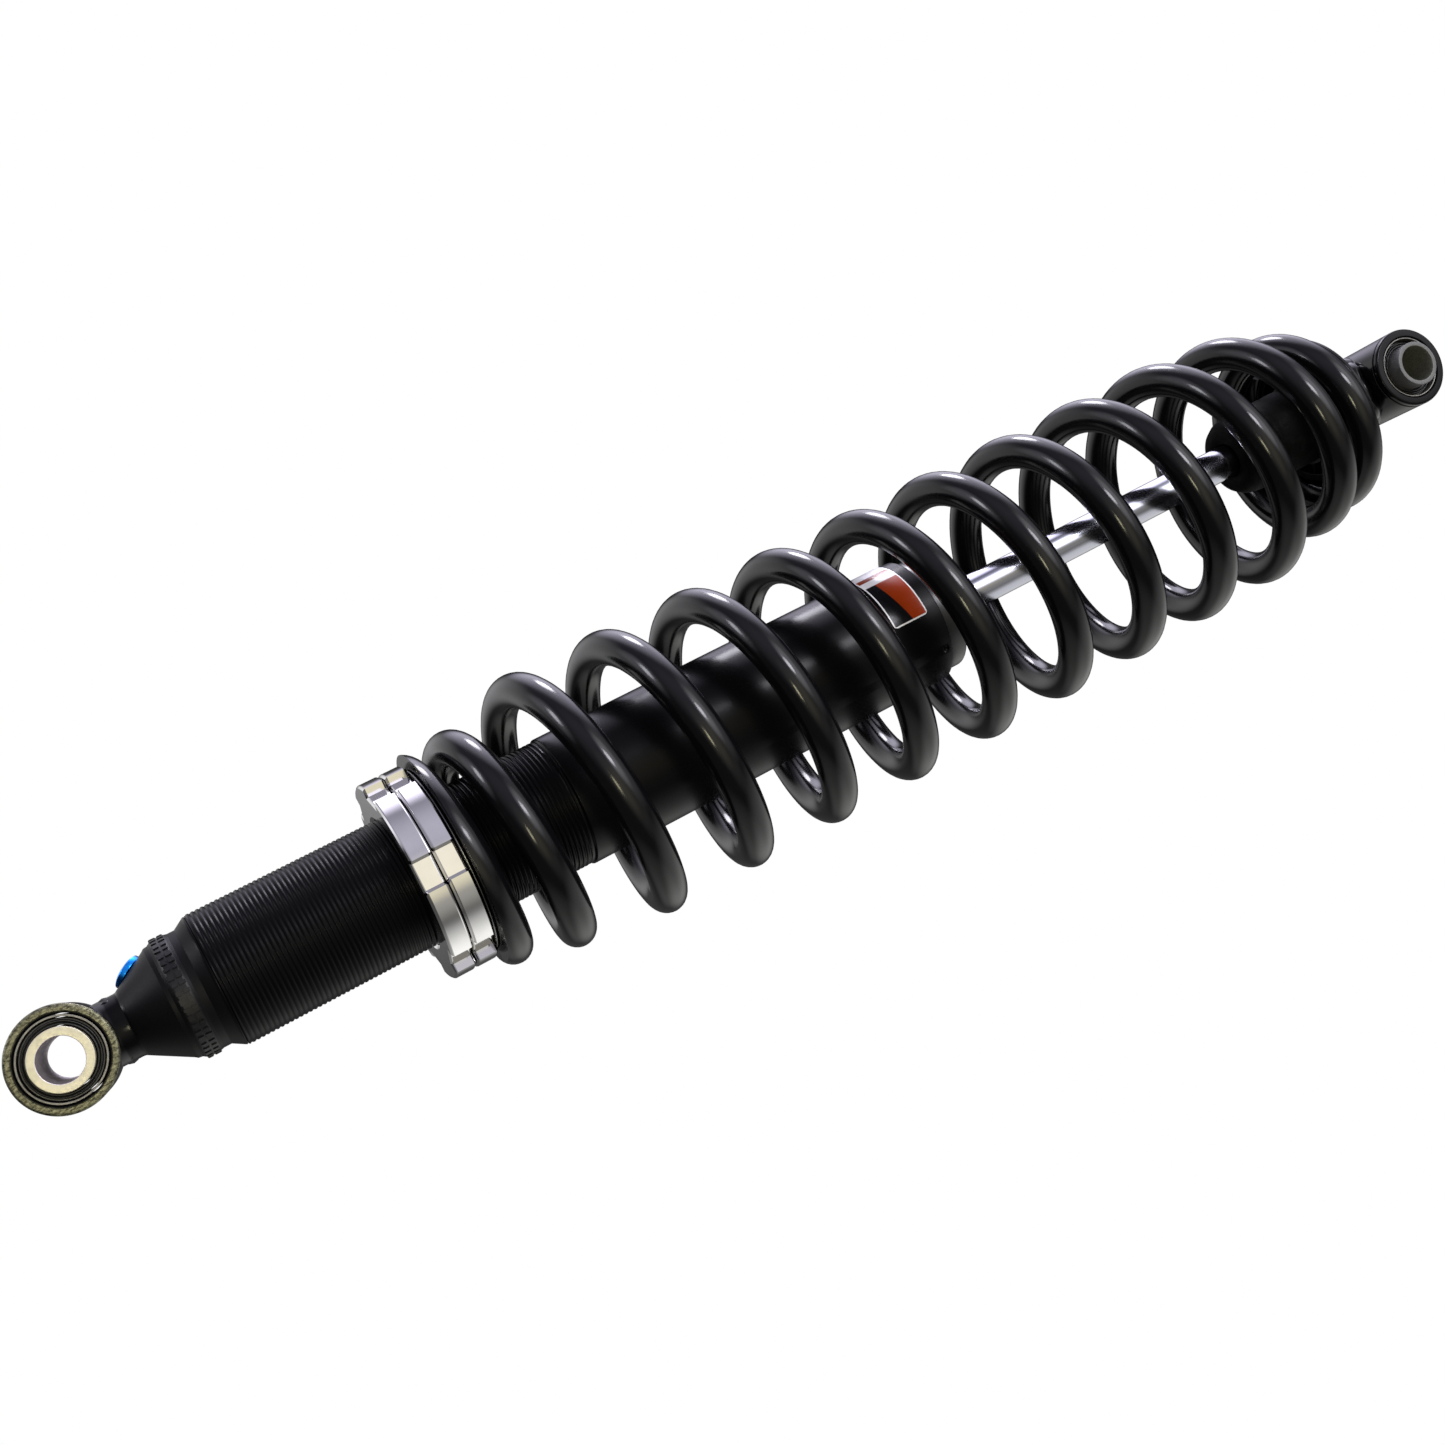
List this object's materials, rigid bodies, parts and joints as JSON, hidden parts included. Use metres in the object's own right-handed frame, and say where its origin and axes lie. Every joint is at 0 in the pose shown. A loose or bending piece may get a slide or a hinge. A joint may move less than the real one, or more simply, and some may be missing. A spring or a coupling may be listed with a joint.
{
  "type": "rear shock",
  "caption": "Coil-over shock absorber with a bushed eye at each end, threaded body, spanner-notched preload rings and a gas valve cap.",
  "frame": {"origin": "on the shock's axis, level with the lowest point of the body eye, 15.3 mm below that eye's centre", "axes": "+Z along the shock's axis from the body eye to the shaft eye; both eye axes lie along Y; the gas valve is on the -X side"},
  "size_m": [0.0892, 0.09, 0.5376],
  "materials": {
    "body_paint": "satin black coating",
    "retainer_paint": "satin black coating",
    "head": "dark anodised",
    "spring_paint": "gloss black powder coat",
    "ring_chrome": "bright plated",
    "shaft_chrome": "hard chrome, ground and polished",
    "bush_shell": "bare pressed steel",
    "bush_rubber": "moulded natural rubber",
    "body_sleeve": "yellow passivated zinc",
    "shaft_sleeve": "plain sintered steel",
    "valve_cap": "blue anodised",
    "bronze": "bearing bronze",
    "seals": "nitrile rubber",
    "label": "printed foil under clear film",
    "alloy": "machined",
    "bearing_band": "filled fluoropolymer",
    "washer_steel": "ground steel",
    "dark_steel": "black finish",
    "bump_foam": "moulded microcellular foam"
  },
  "bodies": {
    "damper_body": {"body_tube": "body_paint", "body_end_cap": "body_paint", "body_eye_bush_shell": "bush_shell", "body_eye_bush_rubber": "bush_rubber", "gas_valve_plug": "valve_cap", "gas_valve_core": "bronze", "end_cap_o_ring": "seals", "seal_head": "head", "seal_head_o_ring": "seals", "shaft_guide_bush": "bronze", "shaft_seal": "seals", "shaft_wiper": "seals", "body_label": "label", "coil_spring": "spring_paint"},
    "body_eye_sleeve": {"body_eye_sleeve": "body_sleeve"},
    "floating_piston": {"floating_piston": "alloy", "floating_piston_o_ring": "seals", "floating_piston_band": "bearing_band"},
    "spring_seat": {"spring_seat_washer": "washer_steel"},
    "preload_ring": {"preload_ring": "ring_chrome"},
    "lock_ring": {"lock_ring": "ring_chrome"},
    "piston_band": {"piston_band": "bearing_band"},
    "shaft": {"piston_shaft": "shaft_chrome", "piston": "alloy", "piston_nut": "washer_steel", "rebound_shims": "washer_steel", "compression_shims": "washer_steel", "top_out_plate": "washer_steel", "top_out_bumper": "bush_rubber", "bump_stop": "bump_foam", "bump_stop_washer": "dark_steel", "spring_retainer": "retainer_paint", "shaft_eye": "body_paint", "shaft_eye_bush_shell": "bush_shell", "shaft_eye_bush_rubber": "bush_rubber"},
    "shaft_eye_sleeve": {"shaft_eye_sleeve": "shaft_sleeve"}
  },
  "joints": [
    {"name": "shaft_slide", "type": "slide", "parent": "damper_body", "child": "piston_band", "axis": [0, 0, 1], "range_m": [-0.13, 0], "stiffness_N_per_m": 34000, "springref_m": 0.006, "deforming": ["coil_spring"]},
    {"name": "shaft_spin", "type": "hinge", "parent": "piston_band", "child": "shaft", "pos_m": [0, 0, 0.4], "axis": [0, 0, 1], "continuous": true},
    {"name": "shaft_eye_twist", "type": "hinge", "parent": "shaft", "child": "shaft_eye_sleeve", "pos_m": [0, 0, 0.5233], "axis": [0, 1, 0], "range_deg": [-15, 15], "stiffness_Nm_per_rad": 0.3},
    {"name": "body_eye_twist", "type": "hinge", "parent": "damper_body", "child": "body_eye_sleeve", "pos_m": [0, 0, 0.0153], "axis": [0, 1, 0], "range_deg": [-15, 15], "stiffness_Nm_per_rad": 0.3},
    {"name": "floating_piston_slide", "type": "slide", "parent": "damper_body", "child": "floating_piston", "axis": [0, 0, 1], "range_m": [-0.015, 0.0005]},
    {"name": "spring_seat_slide", "type": "slide", "parent": "damper_body", "child": "spring_seat", "axis": [0, 0, 1], "range_m": [-0.0061, 0.0361], "deforming": ["coil_spring"]},
    {"name": "preload_ring_turn", "type": "hinge", "parent": "spring_seat", "child": "preload_ring", "pos_m": [0, 0, 0.13], "axis": [0, 0, 1], "range_deg": [-1440, 8640]},
    {"name": "lock_ring_turn", "type": "hinge", "parent": "spring_seat", "child": "lock_ring", "pos_m": [0, 0, 0.125], "axis": [0, 0, 1], "range_deg": [-1442, 8642]}
  ],
  "couplings": [
    {"joint": "floating_piston_slide", "follows": "shaft_slide", "ratio": 0.11111},
    {"joint": "spring_seat_slide", "follows": "preload_ring_turn", "m_per_rad": 0.00023873},
    {"joint": "lock_ring_turn", "follows": "preload_ring_turn", "ratio": 1}
  ]
}
